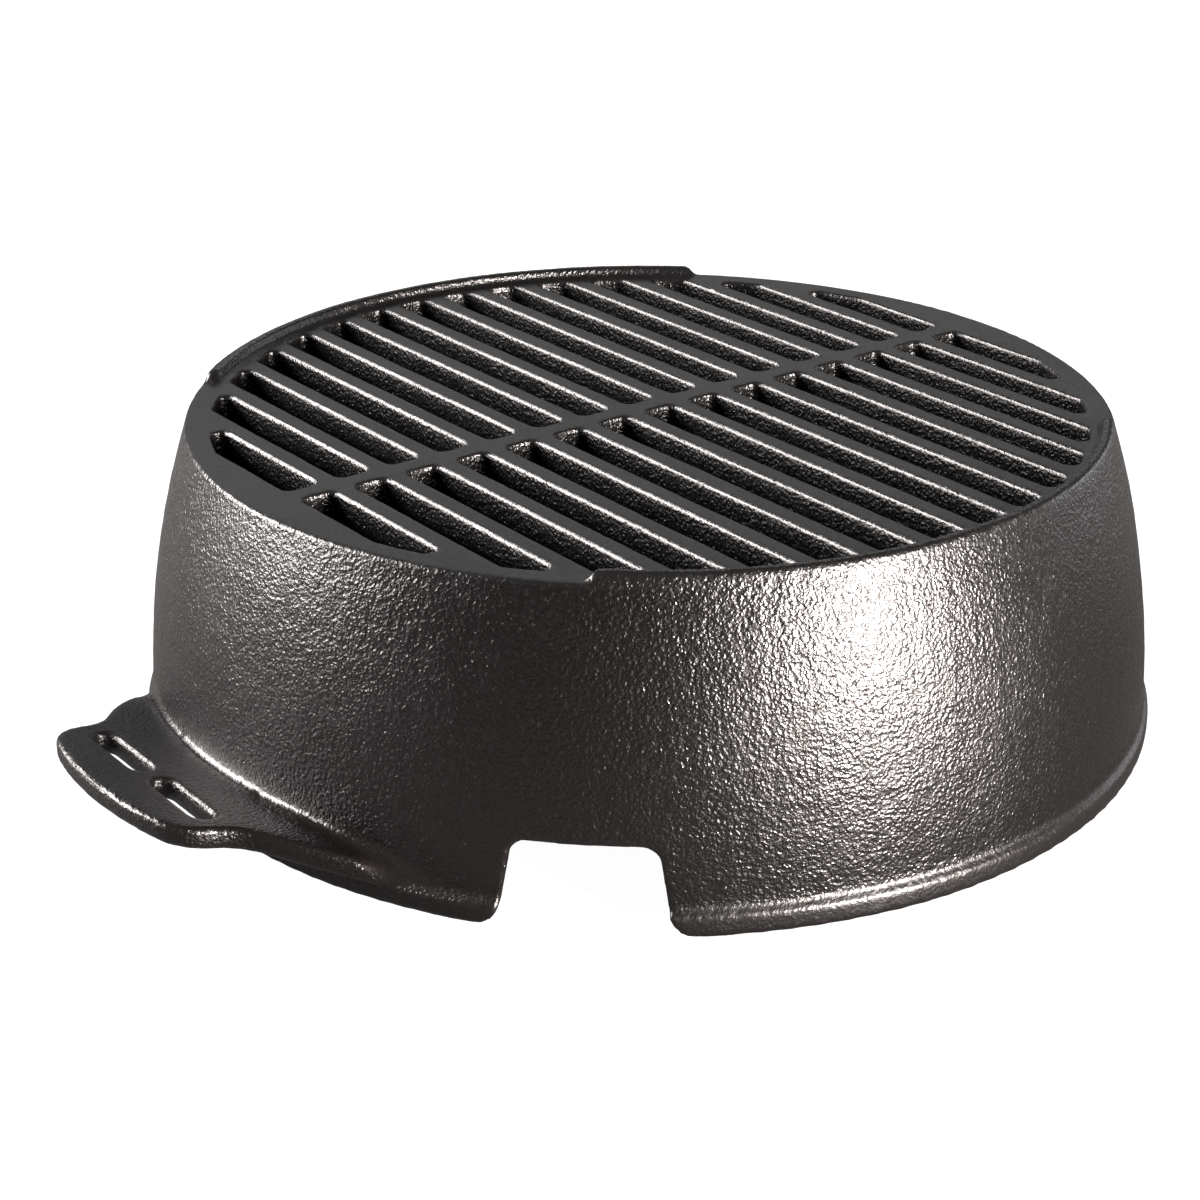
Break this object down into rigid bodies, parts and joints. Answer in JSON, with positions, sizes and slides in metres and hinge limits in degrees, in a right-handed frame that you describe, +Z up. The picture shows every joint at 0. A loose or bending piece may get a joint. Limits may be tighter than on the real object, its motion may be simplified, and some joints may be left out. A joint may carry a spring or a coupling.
{
  "type": "hibachi grill",
  "caption": "Round open-bottomed cast-iron table hibachi with a tapering wall, tab handles, draught notches, a slotted lift-off cooking grate and a charcoal grate inside.",
  "frame": {"origin": "centre of the plane of the rim that the grill stands on", "axes": "+Z up, +X through the two handles and along the grate's cross bar, +Y along the grate's slots"},
  "size_m": [0.378, 0.3066, 0.0953],
  "materials": {
    "body_iron": "seasoned sand-cast skin, satin",
    "grate_iron": "seasoned, smooth matte top",
    "coal_grate_iron": "dry sand-cast skin with a little ash, matte"
  },
  "bodies": {
    "fire_body": {"fire_body": "body_iron"},
    "cooking_grate": {"cooking_grate": "grate_iron"},
    "charcoal_grate": {"charcoal_grate": "coal_grate_iron"}
  },
  "joints": [
    {"name": "cooking_grate_lift", "type": "slide", "parent": "fire_body", "child": "cooking_grate", "axis": [0, 0, 1], "range_m": [0, 0.12]},
    {"name": "charcoal_grate_lift", "type": "slide", "parent": "fire_body", "child": "charcoal_grate", "axis": [0, 0, 1], "range_m": [0, 0.066]}
  ],
  "couplings": [
    {"joint": "charcoal_grate_lift", "follows": "cooking_grate_lift", "ratio": 0.55}
  ]
}
